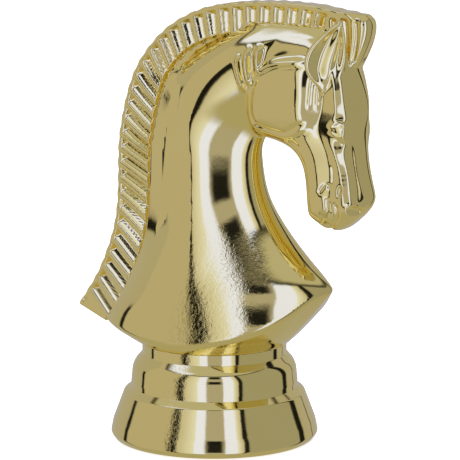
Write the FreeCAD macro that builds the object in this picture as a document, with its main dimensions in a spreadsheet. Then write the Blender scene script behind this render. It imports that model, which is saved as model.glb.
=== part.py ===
"""Chess-knight trophy figure: a hollow two-part horse bust clamped to a stepped round foot.

Frame: +X is the way the horse looks, +Y its left, +Z up.  The origin is the centre of the
foot's underside, where the trophy rod enters.  All sizes are in millimetres.

Load path: the rod pulls the captive nut down in the foot core.  Clamp screws tie the core to
the neck plug, whose flange holds the bust's floor on the collar of the foot shell.
"""

import FreeCAD, Part
import os

import Sketcher
from FreeCAD import Placement, Rotation, Vector

DIMENSIONS = {
    # foot, outside
    "rim_radius": 19.3,            # flat ring that the figure stands on
    "cone_radius": 20.0,           # widest, just above the rim
    "cone_edge_height": 1.2,
    "cone_top_radius": 17.5,
    "cone_height": 8.9,
    "groove_radius": 16.1,
    "groove_height": 10.0,
    "ovolo_radius": 16.1,          # rounded step above the groove
    "ovolo_height": 11.0,
    "ovolo_top_radius": 15.75,
    "ovolo_top_height": 14.5,
    "collar_radius": 13.95,
    "collar_foot_height": 16.6,
    "seat_height": 18.4,           # top of the collar, under the bust
    "wall": 1.8,
    "rim_rounding": 0.9,
    "shoulder_rounding": 0.9,
    "ovolo_rounding": 4.0,
    # spigot joint between bust and foot
    "spigot_radius": 10.0,
    "spigot_bottom": 12.65,
    "fit_gap": 0.05,
    "bust_floor": 2.0,
    "flange_radius": 12.2,
    "flange_thickness": 2.0,
    # core inside the foot
    "core_gap": 0.1,
    "socket_floor": 12.6,
    "web_height": 5.6,             # underside of the core's thick web
    "web_radius": 11.0,
    "ledge_height": 13.5,
    "boss_radius": 5.5,
    "rib_count": 4,
    "rib_thickness": 1.6,
    "rib_lift": 0.6,               # ribs stop short of the table
    "rib_gap": 0.25,
    # M6 nut and rod
    "nut_flats": 10.0,
    "nut_thickness": 5.0,
    "nut_bore_radius": 2.5,
    "nut_bore_chamfer": 0.5,
    "nut_corner_cut": 0.7,
    "nut_gap": 0.06,
    "rod_hole_radius": 3.3,
    "rod_relief_radius": 3.6,
    "rod_relief_top": 20.4,
    # clamp screws
    "screw_circle_radius": 8.0,
    "screw_count": 4,
    "screw_radius": 1.1,
    "screw_hole_radius": 1.25,
    "screw_head_radius": 2.0,
    "screw_head_height": 1.3,
    "screw_head_edge": 0.5,
    "screw_length": 12.0,
    "screw_point": 1.2,
    "screw_bite_gap": 0.02,
    "counterbore_radius": 2.2,
    "recess_width": 0.6,
    "recess_span": 2.2,
    "recess_depth": 0.7,
    # bust
    "shell_wall": 2.0,
    "mane_thickness": 5.0,
    "ear_offset": 4.7,
    "pin_radius": 1.25,
    "pin_length": 8.0,
    "pin_gap": 0.02,
    "pin_boss_radius": 3.0,
}

# Horizontal slices of the neck: height, back, front, half width.
NECK_BASE = [
    (20.0, -20.0, 15.8, 15.4),
    (23.0, -24.0, 18.6, 14.9),
    (27.0, -21.5, 22.4, 12.9),
    (30.7, -18.0, 25.8, 11.5),
]
NECK = [
    (30.7, -18.0, 25.8, 11.5),
    (36.0, -15.4, 20.0, 10.0),
    (42.0, -13.6, 14.9, 9.1),
    (48.0, -12.6, 11.6, 8.7),
    (54.0, -12.2, 10.3, 8.5),
    (60.0, -11.8, 12.0, 8.4),
    (66.0, -10.4, 15.0, 8.1),
    (71.0, -7.8, 20.0, 7.5),
    (75.5, -3.0, 24.0, 6.0),
    (79.0, 3.0, 25.0, 3.0),
]
# Horizontal slices of the head: height, back, front, half width.
HEAD = [
    (43.0, 23.6, 29.0, 2.6),
    (45.5, 21.2, 31.6, 4.7),
    (49.0, 20.4, 33.9, 5.2),
    (53.0, 19.8, 32.4, 5.0),
    (57.0, 17.8, 31.9, 5.8),
    (60.5, 14.2, 32.2, 7.9),
    (65.0, 12.2, 32.6, 9.3),
    (69.0, 12.4, 31.9, 9.1),
    (73.0, 15.0, 30.6, 7.2),
    (76.0, 19.0, 28.5, 4.6),
]
# Outline shared by all slices: share of the length from the back, share of the half width.
SLICE_SHAPE = [(0.0, 0.0), (0.07, 0.48), (0.22, 0.84), (0.45, 1.0), (0.7, 0.84), (0.9, 0.46),
               (1.0, 0.0)]
HEAD_HOLLOW = (49.0, 69.0)         # heights between which the head is hollow
NECK_HOLLOW = (30.0, 72.0)
HOLLOW_FLOOR = (-16.5, 15.8, 15.0)  # back, front and half width of the lowest hollow slice

# Mane plate, X and Z: outer edge from the tip over the crest to the forehead, then inner edge.
CREST = [(-30.0, 23.2), (-26.0, 29.6), (-22.2, 38.4), (-20.5, 48.0), (-20.0, 57.0),
         (-17.4, 67.5), (-11.5, 76.2), (-3.5, 81.6), (7.0, 84.0), (19.0, 84.2), (31.0, 82.4)]
MANE_ROOT = [(28.0, 72.0), (12.0, 74.0), (0.0, 72.0), (-8.0, 64.0), (-9.5, 50.0),
             (-12.0, 36.0), (-19.0, 23.0)]

EAR = [(26.0, 70.0, 3.4, 2.4),     # X, Z, half length and half width from foot to tip
       (26.8, 75.0, 3.0, 2.2),
       (29.3, 81.0, 0.6, 0.5)]
PINS = [(-6.0, 33.0), (0.0, 54.0), (17.0, 70.0)]   # X and Z of the locating pins
BEYOND = 120.0                     # longer than the figure in any direction

doc = FreeCAD.newDocument("chess_knight_figure")


def make_sheet():
    table = doc.addObject("Spreadsheet::Sheet", "Dimensions")
    for row, (alias, number) in enumerate(DIMENSIONS.items(), start=1):
        table.set(f"A{row}", alias)
        table.set(f"B{row}", str(number))
        table.setAlias(f"B{row}", alias)
    doc.recompute()
    return table


def size(alias):
    return float(sheet.get(alias))


def formula(text):
    """Puts the sheet's name before every alias in a sum such as 'wall + fit_gap'."""
    return " ".join(f"<<Dimensions>>.{w}" if w in DIMENSIONS else w for w in text.split())


def work_out(text):
    """Value of a sum of aliases and numbers such as 'wall + fit_gap'."""
    total, sign = 0.0, 1.0
    for word in text.split():
        if word in ("+", "-"):
            sign = 1.0 if word == "+" else -1.0
        else:
            total += sign * (size(word) if word in DIMENSIONS else float(word))
    return total


def new_body(label):
    body = doc.addObject("PartDesign::Body", label)
    body.Label = label
    return body


def origin_part(body, role):
    return next(f for f in body.Origin.OriginFeatures if f.Role == role)


def outline(body, name, corners):
    """Closed polygon in the XZ plane; every corner is held by a sum of sheet values."""
    sketch = body.newObject("Sketcher::SketchObject", name)
    sketch.AttachmentSupport = (origin_part(body, "XZ_Plane"), [""])
    sketch.MapMode = "FlatFace"
    points = [Vector(work_out(across), work_out(up), 0) for across, up in corners]
    count = len(points)
    for i, start in enumerate(points):
        sketch.addGeometry(Part.LineSegment(start, points[(i + 1) % count]), False)
    for i in range(count):
        sketch.addConstraint(Sketcher.Constraint("Coincident", i, 2, (i + 1) % count, 1))
    for i, corner in enumerate(corners):
        for kind, text, zero_axis in zip(("DistanceX", "DistanceY"), corner, (-2, -1)):
            if text == "0":
                sketch.addConstraint(Sketcher.Constraint("PointOnObject", i, 1, zero_axis))
                continue
            held = sketch.addConstraint(Sketcher.Constraint(kind, i, 1, work_out(text)))
            sketch.setExpression(f"Constraints[{held}]", formula(text))
    sketch.Visibility = False
    return sketch


def turned(body, name, corners, kind="PartDesign::Revolution"):
    """Full turn of an outline about Z; a Groove cuts, a Revolution adds."""
    sketch = outline(body, name + "Profile", corners)
    feature = body.newObject(kind, name)
    feature.Profile = sketch
    feature.ReferenceAxis = (sketch, ["V_Axis"])
    feature.Angle = 360.0
    return feature


def primitive(body, kind, name, sizes, x="0", y="0", z="0", turn=0.0):
    """PartDesign primitive on the XY plane, lifted and shifted by sheet expressions."""
    feature = body.newObject("PartDesign::" + kind, name)
    feature.AttachmentSupport = (origin_part(body, "XY_Plane"), [""])
    feature.MapMode = "FlatFace"
    feature.AttachmentOffset = Placement(Vector(0, 0, 0), Rotation(Vector(0, 0, 1), turn))
    for axis, text in zip("xyz", (x, y, z)):
        feature.setExpression(f"AttachmentOffset.Base.{axis}", formula(text))
    for field, text in sizes.items():
        feature.setExpression(field, formula(text))
    return feature


def around(body, feature, count):
    pattern = body.newObject("PartDesign::PolarPattern", feature.Name + "Ring")
    pattern.Originals = [feature]
    pattern.Axis = (origin_part(body, "Z_Axis"), [""])
    pattern.Angle = 360.0
    pattern.setExpression("Occurrences", formula(count))
    body.Tip = pattern
    return pattern


def rounded(body, base, radius, corner_radius):
    """Fillets the round edges of one radius."""
    doc.recompute()
    names = [f"Edge{i}" for i, edge in enumerate(base.Shape.Edges, start=1)
             if isinstance(edge.Curve, Part.Circle)
             and abs(edge.Curve.Radius - size(corner_radius)) < 0.02]
    fillet = body.newObject("PartDesign::Fillet", "Rounded_" + radius)
    fillet.Base = (base, names)
    fillet.setExpression("Radius", formula(radius))
    return fillet


def make_foot_shell():
    """Bright cover of the foot: cone, rounded step and collar, open below."""
    body = new_body("foot_shell")
    shape = turned(body, "Cover", [
        ("rim_radius", "0"),
        ("cone_radius", "cone_edge_height"),
        ("cone_top_radius", "cone_height"),
        ("groove_radius", "groove_height"),
        ("ovolo_radius", "ovolo_height"),
        ("ovolo_top_radius", "ovolo_top_height"),
        ("collar_radius", "collar_foot_height"),
        ("collar_radius", "seat_height"),
        ("spigot_radius + fit_gap", "seat_height"),
        ("spigot_radius + fit_gap", "seat_height - wall"),
        ("collar_radius - wall", "collar_foot_height"),
        ("ovolo_radius - wall", "ovolo_height"),
        ("groove_radius - wall", "groove_height - 0.6"),
        ("cone_top_radius - wall", "cone_height - 0.8"),
        ("rim_radius - wall", "0"),
    ])
    shape = rounded(body, shape, "rim_rounding", "cone_radius")
    shape = rounded(body, shape, "shoulder_rounding", "cone_top_radius")
    rounded(body, shape, "ovolo_rounding", "ovolo_top_radius")
    return body


def make_foot_core():
    """Ribbed insert pressed up into the cover: holds the nut and takes the rod's pull."""
    body = new_body("foot_core")
    turned(body, "Core", [
        ("rod_hole_radius", "0"),
        ("boss_radius", "0"),
        ("boss_radius", "web_height"),
        ("web_radius", "web_height"),
        ("web_radius", "ledge_height"),
        ("collar_radius - wall - core_gap", "ledge_height"),
        ("collar_radius - wall - core_gap", "seat_height - wall - core_gap"),
        ("spigot_radius + fit_gap", "seat_height - wall - core_gap"),
        ("spigot_radius + fit_gap", "socket_floor"),
        ("rod_hole_radius", "socket_floor"),
    ])
    rib = body.newObject("PartDesign::Pad", "Rib")
    rib.Profile = outline(body, "RibProfile", [
        ("boss_radius - 0.5", "rib_lift"),
        ("rim_radius - wall - rib_gap", "rib_lift"),
        ("cone_top_radius - wall - core_gap", "cone_height - 1.4"),
        ("groove_radius - wall - rib_gap", "groove_height - 1.0"),
        ("web_radius - 0.5", "groove_height - 1.0"),
        ("web_radius - 0.5", "web_height + 0.5"),
        ("boss_radius - 0.5", "web_height + 0.5"),
    ])
    rib.Midplane = True
    rib.setExpression("Length", formula("rib_thickness"))
    around(body, rib, "rib_count")
    primitive(body, "SubtractivePrism", "NutPocket",
              {"Circumradius": "nut_flats / 2 / cos(30) + nut_gap",
               "Height": "nut_thickness + 3 * nut_gap"},
              z="socket_floor - nut_thickness - 2 * nut_gap", turn=30.0)
    hole = primitive(body, "SubtractiveCylinder", "ScrewHole",
                     {"Radius": "screw_hole_radius", "Height": "socket_floor"},
                     x="screw_circle_radius * cos(45)", y="screw_circle_radius * sin(45)",
                     z="web_height - 1")
    around(body, hole, "screw_count")
    counterbore = primitive(body, "SubtractiveCylinder", "Counterbore",
                            {"Radius": "counterbore_radius", "Height": "screw_head_height + 1"},
                            x="screw_circle_radius * cos(45)", y="screw_circle_radius * sin(45)",
                            z="web_height - 1")
    around(body, counterbore, "screw_count")
    return body


def make_neck_plug():
    """Flanged plug trapped between the bust halves; its spigot enters the foot."""
    body = new_body("neck_plug")
    top = "seat_height + bust_floor + fit_gap"
    turned(body, "Plug", [
        ("rod_relief_radius", "spigot_bottom"),
        ("spigot_radius", "spigot_bottom"),
        ("spigot_radius", top),
        ("flange_radius", top),
        ("flange_radius", top + " + flange_thickness"),
        ("0", top + " + flange_thickness"),
        ("0", "rod_relief_top"),
        ("rod_relief_radius", "rod_relief_top"),
    ])
    pilot = primitive(body, "SubtractiveCylinder", "Pilot",
                      {"Radius": "screw_radius + screw_bite_gap",
                       "Height": "screw_length - 4"},
                      x="screw_circle_radius * cos(45)", y="screw_circle_radius * sin(45)",
                      z="spigot_bottom - 0.5")
    around(body, pilot, "screw_count")
    return body


def make_nut():
    """M6 hexagon nut, its thread drawn as a plain bore at the minor diameter."""
    body = new_body("captive_nut")
    low = "socket_floor - nut_thickness - nut_gap"
    high = "socket_floor - nut_gap"
    primitive(body, "AdditivePrism", "Hexagon",
              {"Circumradius": "nut_flats / 2 / cos(30)", "Height": "nut_thickness"},
              z=low, turn=30.0)
    turned(body, "Bore", [
        ("0", low + " - 1"),
        ("nut_bore_radius + nut_bore_chamfer", low + " - 1"),
        ("nut_bore_radius + nut_bore_chamfer", low),
        ("nut_bore_radius", low + " + nut_bore_chamfer"),
        ("nut_bore_radius", high + " - nut_bore_chamfer"),
        ("nut_bore_radius + nut_bore_chamfer", high),
        ("nut_bore_radius + nut_bore_chamfer", high + " + 1"),
        ("0", high + " + 1"),
    ], "PartDesign::Groove")
    turned(body, "TopCorners", [
        ("nut_flats - 5.1", high),
        ("nut_flats - 5.1", high + " + 1"),
        ("nut_flats - 3.9", high + " + 1"),
        ("nut_flats - 3.9", high + " - nut_corner_cut"),
    ], "PartDesign::Groove")
    return body


def make_screw_pattern():
    """One pan-head clamp screw with a cross recess, on the Z axis."""
    body = new_body("screw_pattern")
    seat = "web_height + screw_head_height"
    turned(body, "Screw", [
        ("0", "web_height"),
        ("screw_head_radius - screw_head_edge", "web_height"),
        ("screw_head_radius", "web_height + screw_head_edge"),
        ("screw_head_radius", seat),
        ("screw_radius", seat),
        ("screw_radius", seat + " + screw_length - screw_point"),
        ("0", seat + " + screw_length"),
    ])
    for name, along, aside in (("SlotA", "recess_span", "recess_width"),
                               ("SlotB", "recess_width", "recess_span")):
        primitive(body, "SubtractiveBox", name,
                  {"Length": along, "Width": aside, "Height": "recess_depth + 1"},
                  x=f"-0.5 * {along}", y=f"-0.5 * {aside}", z="web_height - 1")
    return body


def make_clamp_screws(pattern):
    """Identical screws, one solid each, evenly round the axis between the ribs."""
    doc.recompute()
    count = int(size("screw_count"))
    group = doc.addObject("Part::Feature", "clamp_screws")
    screws = []
    for i in range(count):
        turn = Rotation(Vector(0, 0, 1), 360.0 * (i + 0.5) / count)
        screw = pattern.Shape.Solids[0].copy()
        screw.translate(turn.multVec(Vector(size("screw_circle_radius"), 0, 0)))
        screws.append(screw)
    group.Shape = Part.makeCompound(screws)
    return group


def slice_wire(height, back, front, half_width, inset=0.0):
    """Smooth closed outline of a horizontal slice, symmetric about the plane Y=0."""
    back, front, half_width = back + inset, front - inset, half_width - inset
    side = [(back + share * (front - back), width * half_width) for share, width in SLICE_SHAPE]
    points = [Vector(x, -y, height) for x, y in side]
    points += [Vector(x, y, height) for x, y in reversed(side[1:-1])]
    curve = Part.BSplineCurve()
    curve.interpolate(Points=points, PeriodicFlag=True)
    return Part.Wire([curve.toShape()])


def loft(slices, inset=0.0):
    return Part.makeLoft([slice_wire(*s, inset=inset) for s in slices], True, False)


def between(slices, limits):
    return [s for s in slices if limits[0] <= s[0] <= limits[1]]


def spline_edge(points):
    curve = Part.BSplineCurve()
    curve.interpolate([Vector(x, 0, z) for x, z in points])
    return curve


def make_mane():
    """Upright plate that follows the arched neck."""
    outer, root = spline_edge(CREST), spline_edge(MANE_ROOT)
    front = Part.LineSegment(outer.EndPoint, root.StartPoint)
    tip = Part.LineSegment(root.EndPoint, outer.StartPoint)
    wire = Part.Wire([edge.toShape() for edge in (outer, front, root, tip)])
    plate = Part.Face(wire).extrude(Vector(0, size("mane_thickness"), 0))
    plate.translate(Vector(0, -size("mane_thickness") / 2, 0))
    return plate


def make_ear():
    """Pricked ear on the right side, an upright almond that leans forward at its tip."""
    wires = []
    for x, z, half_length, half_width in EAR:
        oval = Part.Wire([Part.Ellipse(Vector(0, 0, 0), half_length, half_width).toShape()])
        oval.translate(Vector(x, -size("ear_offset"), z))
        wires.append(oval)
    return Part.makeLoft(wires, True, False)


def make_bust():
    """Outside of the bust as one solid, with the right ear."""
    seat = Part.Circle(Vector(0, 0, size("seat_height")), Vector(0, 0, 1), size("collar_radius"))
    keel = Part.makeLoft([Part.Wire([seat.toShape()]), slice_wire(*NECK_BASE[0])], True, True)
    others = [loft(NECK_BASE), loft(NECK), loft(HEAD), make_mane(), make_ear()]
    return keel.multiFuse(others).removeSplitter()


def make_hollow():
    """Space inside the neck and head, one wall inside the surface, above the flange's seat."""
    wall = size("shell_wall")
    floor = size("seat_height") + size("bust_floor")
    well = Part.makeCylinder(size("flange_radius") + size("core_gap"),
                             size("flange_thickness") + 1.0, Vector(0, 0, floor))
    base = loft([(floor, *HOLLOW_FLOOR), *NECK_BASE[1:]], inset=wall)
    neck = loft(between(NECK, NECK_HOLLOW), inset=wall)
    head = loft(between(HEAD, HEAD_HOLLOW), inset=wall)
    return well.multiFuse([base, neck, head])


def make_right_shell():
    """Right half of the bust: hollow, with pin bosses and the spigot's opening."""
    across = Vector(0, 1, 0)
    outer = make_bust()
    bosses = [Part.makeCylinder(size("pin_boss_radius"), BEYOND, Vector(x, -BEYOND / 2, z),
                                across).common(outer) for x, z in PINS]
    whole = outer.cut(make_hollow()).multiFuse(bosses)
    depth = size("pin_length") / 2 + 0.2
    for x, z in PINS:
        whole = whole.cut(Part.makeCylinder(size("pin_radius") + size("pin_gap"), 2 * depth,
                                            Vector(x, -depth, z), across))
    whole = whole.cut(Part.makeCylinder(size("spigot_radius") + size("fit_gap"), BEYOND,
                                        Vector(0, 0, -BEYOND + size("seat_height") + 3.0)))
    right = Part.makeBox(2 * BEYOND, BEYOND, 2 * BEYOND, Vector(-BEYOND, -BEYOND, -BEYOND))
    shell = doc.addObject("Part::Feature", "right_half_shell")
    shell.Shape = whole.common(right)
    return shell


def make_left_shell(right):
    shell = doc.addObject("Part::Mirroring", "left_half_shell")
    shell.Source = right
    shell.Normal = (0, 1, 0)
    shell.Base = (0, 0, 0)
    return shell


def make_locating_pins():
    """Dowels that line up the two shells, one solid each."""
    pins = []
    for i, (x, z) in enumerate(PINS, start=1):
        pin = doc.addObject("Part::Cylinder", f"pin_{i}")
        pin.setExpression("Radius", formula("pin_radius"))
        pin.setExpression("Height", formula("pin_length"))
        pin.Placement = Placement(Vector(x, size("pin_length") / 2, z),
                                  Rotation(Vector(1, 0, 0), 90))
        pins.append(pin)
    group = doc.addObject("Part::Compound", "locating_pins")
    group.Links = pins
    return group


def check_document():
    for item in doc.Objects:
        faults = [word for word in item.State if word in ("Invalid", "Error")]
        if faults:
            raise RuntimeError(f"{item.Label} did not build: {faults}")


def write_parts(nodes):
    for node in nodes:
        shape = node.Shape
        if shape.isNull() or not shape.isValid() or not shape.Solids:
            raise RuntimeError(f"{node.Label} has no valid solid")
    os.makedirs("parts", exist_ok=True)
    for node in nodes:
        print(f"{node.Label}: {len(node.Shape.Solids)} solids, {node.Shape.Volume:.1f} mm3")
        node.Shape.exportStep(f"parts/{node.Label}.step")


sheet = make_sheet()
right_shell = make_right_shell()
parts = [
    make_foot_shell(),
    make_foot_core(),
    make_neck_plug(),
    make_nut(),
    make_clamp_screws(make_screw_pattern()),
    make_locating_pins(),
    right_shell,
    make_left_shell(right_shell),
]
doc.recompute()
check_document()
write_parts(parts)
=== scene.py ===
"""Chess-knight trophy figure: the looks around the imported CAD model.

The bust is sculpted as an implicit surface in millimetres (x the way the horse looks, z up,
ay the distance from its middle plane), meshed on a grid, and moved onto the exact surface.
"""

import math

import bmesh
import bpy
import numpy as np
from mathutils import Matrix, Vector


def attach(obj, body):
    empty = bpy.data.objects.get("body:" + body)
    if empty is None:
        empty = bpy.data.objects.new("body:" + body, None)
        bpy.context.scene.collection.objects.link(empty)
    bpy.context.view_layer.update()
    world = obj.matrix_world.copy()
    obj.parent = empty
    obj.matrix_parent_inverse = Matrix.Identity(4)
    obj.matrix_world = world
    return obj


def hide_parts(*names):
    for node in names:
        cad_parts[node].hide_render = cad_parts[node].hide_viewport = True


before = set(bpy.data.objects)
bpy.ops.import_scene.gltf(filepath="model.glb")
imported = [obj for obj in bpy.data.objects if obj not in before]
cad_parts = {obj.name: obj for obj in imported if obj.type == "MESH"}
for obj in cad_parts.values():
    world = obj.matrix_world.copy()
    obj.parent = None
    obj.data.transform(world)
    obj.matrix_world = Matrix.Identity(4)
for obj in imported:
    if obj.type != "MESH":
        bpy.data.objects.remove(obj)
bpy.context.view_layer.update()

MM = 0.001
CELL = 0.45       # sculpting grid, mm
MAP_STEP = 0.15                      # grid of the flat maps, mm
MAP_LOW = np.array([-34.0, 14.0])    # x, z
MAP_HIGH = np.array([38.5, 88.5])

# ------------------------------------------------------------------ curves and blends


def spline(points, samples, closed=False):
    """Points along the natural (or periodic) cubic spline through the given ones, evenly spread
    in its parameter, which grows by the square root of each chord."""
    points = np.array(points, float)
    if closed:
        points = np.vstack([points, points[:1]])
    chords = np.linalg.norm(np.diff(points, axis=0), axis=1)
    at = np.concatenate([[0], np.cumsum(np.sqrt(chords))])
    second = spline_second(at, points, closed)
    return spline_value(at, points, second, np.linspace(0, at[-1], samples))


def spline_second(t, v, closed=False):
    """Second derivatives of the cubic spline through v at t."""
    count = len(t)
    step = np.diff(t)
    slope = np.diff(v, axis=0) / step.reshape(-1, *([1] * (v.ndim - 1)))
    matrix = np.zeros((count, count))
    right = np.zeros_like(v)
    for i in range(1, count - 1):
        matrix[i, i - 1:i + 2] = step[i - 1], 2 * (step[i - 1] + step[i]), step[i]
        right[i] = 6 * (slope[i] - slope[i - 1])
    matrix[0, 0] = matrix[-1, -1] = 1
    if closed:
        matrix[0, -1] = -1
        matrix[-1, 0], matrix[-1, 1] = 2 * step[0], step[0]
        matrix[-1, -2], matrix[-1, -1] = step[-1], 2 * step[-1]
        right[-1] = 6 * (slope[0] - slope[-1])
    return np.linalg.solve(matrix, right)


def spline_value(t, v, second, at):
    """Value at the given places of the spline through v at t."""
    at = np.clip(at, t[0], t[-1])
    i = np.clip(np.searchsorted(t, at) - 1, 0, len(t) - 2)
    step = t[i + 1] - t[i]
    a, b = (t[i + 1] - at) / step, (at - t[i]) / step
    if v.ndim > 1:
        step, a, b = step[..., None], a[..., None], b[..., None]
    curve = (a ** 3 - a) * second[i] + (b ** 3 - b) * second[i + 1]
    return a * v[i] + b * v[i + 1] + curve * step ** 2 / 6


class Profile:
    """Smooth function of one number, given by (where, value) rows."""

    def __init__(self, rows):
        rows = np.array(sorted(rows), float)
        self.t, self.v = rows[:, 0], rows[:, 1]
        self.second = spline_second(self.t, self.v)

    def __call__(self, at):
        return spline_value(self.t, self.v, self.second, at)


def step(value, low, high):
    """Smooth 0 to 1 as value goes from low to high."""
    t = np.clip((value - low) / (high - low), 0, 1)
    return t * t * t * (t * (6 * t - 15) + 10)


def join(a, b, soft):
    """Smooth union of two distance fields."""
    h = np.clip(0.5 + 0.5 * (b - a) / soft, 0, 1)
    return b + (a - b) * h - soft * h * (1 - h)


def trim(a, b, soft):
    """Smooth intersection of two distance fields."""
    return -join(-a, -b, soft)


def bell(distance, width):
    """1 at the middle, falling smoothly to 0."""
    return np.exp(-(distance / width) ** 2)


def path_distance(x, z, points, closed=False):
    """Distance to a polyline and the share of its length at the nearest point."""
    points = np.array(points, float)
    if closed:
        points = np.vstack([points, points[:1]])
    lengths = np.linalg.norm(np.diff(points, axis=0), axis=1)
    start = np.concatenate([[0], np.cumsum(lengths)])
    best = np.full(np.shape(x), np.inf)
    along = np.zeros(np.shape(x))
    for (ax, az), (bx, bz), length, s in zip(points[:-1], points[1:], lengths, start):
        ux, uz = (bx - ax) / length, (bz - az) / length
        t = np.clip((x - ax) * ux + (z - az) * uz, 0, length)
        d = (x - ax - t * ux) ** 2 + (z - az - t * uz) ** 2
        nearer = d < best
        best = np.where(nearer, d, best)
        along = np.where(nearer, s + t, along)
    return np.sqrt(best), along / start[-1]


def inside_distance(x, z, points):
    """Distance to a closed smooth outline, positive inside."""
    outline = spline(points, closed=True, samples=40 + 9 * len(points))
    distance, _ = path_distance(x, z, outline[:-1], closed=True)
    inside = np.zeros(np.shape(x), bool)
    for (ax, az), (bx, bz) in zip(outline, np.roll(outline, -1, axis=0)):
        if az != bz:
            crosses = ((az > z) != (bz > z)) & (x < (bx - ax) * (z - az) / (bz - az) + ax)
            inside ^= crosses
    return np.where(inside, distance, -distance)


def line_bump(x, z, points, width, height, taper=0.25):
    """Raised (or sunk) line along a smooth path that fades out at its ends."""
    curve = spline(points, samples=6 * len(points))
    distance, share = path_distance(x, z, curve)
    fade = step(share, 0, taper) * step(1 - share, 0, taper)
    return height * bell(distance, width) * fade


def oval_bump(x, z, centre, radii, height, tilt=0.0, power=2):
    """Bump over a tilted ellipse."""
    c, s = math.cos(math.radians(tilt)), math.sin(math.radians(tilt))
    dx, dz = x - centre[0], z - centre[1]
    u, v = (c * dx + s * dz) / radii[0], (-s * dx + c * dz) / radii[1]
    return height * np.exp(-(u * u + v * v) ** (power / 2))


# ------------------------------------------------------------------ the horse's shapes, mm

# Neck, by height: back and front on the middle plane, half width, where it is widest.
NECK_BACK = Profile([(16, -25.5), (21, -25.2), (25, -23.6), (30, -20.0), (35, -16.9), (42, -14.6),
                     (50, -14.0), (60, -13.4), (67, -11.0), (72, -6.8), (76, -0.6), (79, 6)])
NECK_FRONT = Profile([(16, 27.2), (22, 27.0), (26, 26.9), (29, 26.5), (30.9, 25.4), (33.2, 23.1),
                      (36, 20.1), (39.5, 16.9), (43.5, 13.9), (47, 11.9), (51, 10.7), (54, 10.3),
                      (57.5, 10.6), (61, 13), (66, 18), (72, 25), (76, 28), (79, 29)])
# The five below came from a fitting program that isn't part of this file, and were rounded: it
# looked for cross sections whose mirror reflections fall where they do in the photograph.
NECK_WIDE = Profile([(16, 16.4), (19, 15.5), (22, 15.05), (25, 14.9), (28.5, 14.5), (33, 13.45),
                     (38, 11.7), (43, 9.9), (49, 8.6), (55, 7.95), (61, 7.95), (66, 8.5),
                     (71, 8.2), (75, 7.0), (78, 5.2), (80, 3.4)])
NECK_MID = Profile([(16, -1.0), (19, -1.2), (22, -1.1), (25, -0.5), (28.5, 0.55), (33, 1.7),
                    (38, 1.2), (43, 0.55), (49, -0.2), (55, -0.7), (61, -1.0), (66, 0.8),
                    (71, 4.4), (75, 9.0), (80, 14.1)])
# Fullness of its slices towards the front, the back and the sides (2 is an ellipse).
NECK_FORE = Profile([(16, 2.8), (19, 2.7), (22, 2.6), (25, 2.43), (28.5, 2.1), (33, 1.47),
                     (38, 1.3), (43, 1.3), (49, 1.35), (55, 1.35), (61, 1.45), (66, 1.6),
                     (71, 1.65), (75, 1.8), (80, 2.0)])
NECK_AFT = Profile([(16, 2.3), (22, 2.4), (25, 2.4), (28.5, 2.3), (33, 1.9), (38, 1.45),
                    (43, 1.2), (49, 1.25), (55, 1.3), (61, 1.4), (66, 1.7), (71, 2.0), (80, 2.4)])
NECK_SIDE = Profile([(16, 1.3), (22, 1.2), (25, 1.18), (28.5, 1.15), (33, 1.52), (38, 1.72),
                     (43, 1.68), (49, 1.64), (55, 1.6), (61, 1.25), (66, 1.15), (71, 1.15),
                     (75, 1.2), (80, 1.4)])

# Rim of the bust by direction in plan, degrees from the front: radius and height.
RIM_RADIUS = Profile([(0, 26.0), (8.8, 23.3), (19, 21.5), (33, 19.4), (47.5, 17.6), (68, 15.8),
                      (90, 15.1), (105, 15.1), (121, 15.8), (142, 17.9), (161, 21.3), (172, 25.8),
                      (180, 31.0)])
RIM_HEIGHT = Profile([(0, 31.0), (9, 28.4), (19, 26.1), (33, 23.6), (47.5, 21.9), (68, 20.7),
                      (90, 20.1), (105, 19.8), (121, 19.9), (142, 20.6), (161, 21.7),
                      (172, 22.9), (180, 24.0)])
COLLAR_RADIUS = 14.0                # where the underside leaves the foot
SEAT = 18.4                         # height of the foot's collar
UNDER_CURVE = 1.15                  # how the underside bends up towards the rim
UNDER_SLOPE = 0.75                  # its height difference to distance
NECK_BLEND = 5.0                    # from the rear fullness to the front one
NECK_POWER = 2.1                    # turns the slices' fullness into a distance
NECK_TOP = 80.5                     # the neck ends here, inside the mane

HEAD_OUTLINE = [(26.6, 78.6), (29.5, 75.2), (30.9, 72.2), (31.8, 69.5), (32.6, 66), (32.5, 62.5),
                (32.3, 59.5), (32.5, 56.2), (33.1, 52.8), (33.8, 50.2), (34.0, 48.6),
                (33.1, 46.7), (30.9, 44.5), (28.9, 42.9), (27.4, 42.3), (26.4, 42.5), (26.0, 43.2),
                (25.5, 42.6), (24.8, 42.5), (23.7, 43.1), (22.5, 43.9), (21.6, 44.9),
                (21.3, 46.5), (21.1, 50), (20.6, 53), (19.3, 55.8), (16.7, 57.6), (13.3, 58.6),
                (10.3, 59.9), (9.2, 64), (10.0, 70), (12.0, 75.5), (16, 79.0), (21, 79.8)]
HEAD_WIDE = Profile([(40, 2.6), (43, 3.9), (45, 4.6), (47, 5.1), (50.5, 5.45), (54.5, 5.5),
                     (57, 5.85), (60, 6.35), (63, 7.2), (66, 7.8), (70, 7.75), (74, 7.0), (78, 5.4)])
HEAD_REACH = Profile([(40, 2.4), (46, 2.8), (52, 3.2), (58, 3.8), (64, 4.6), (70, 4.6), (78, 4)])
HEAD_POWER = 2.2                    # fullness of its slices, 2 is an ellipse
FRONT_REACH = 1.25                  # rounding along the nose
HEAD_LEAST = 0.8                    # least half width
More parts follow.
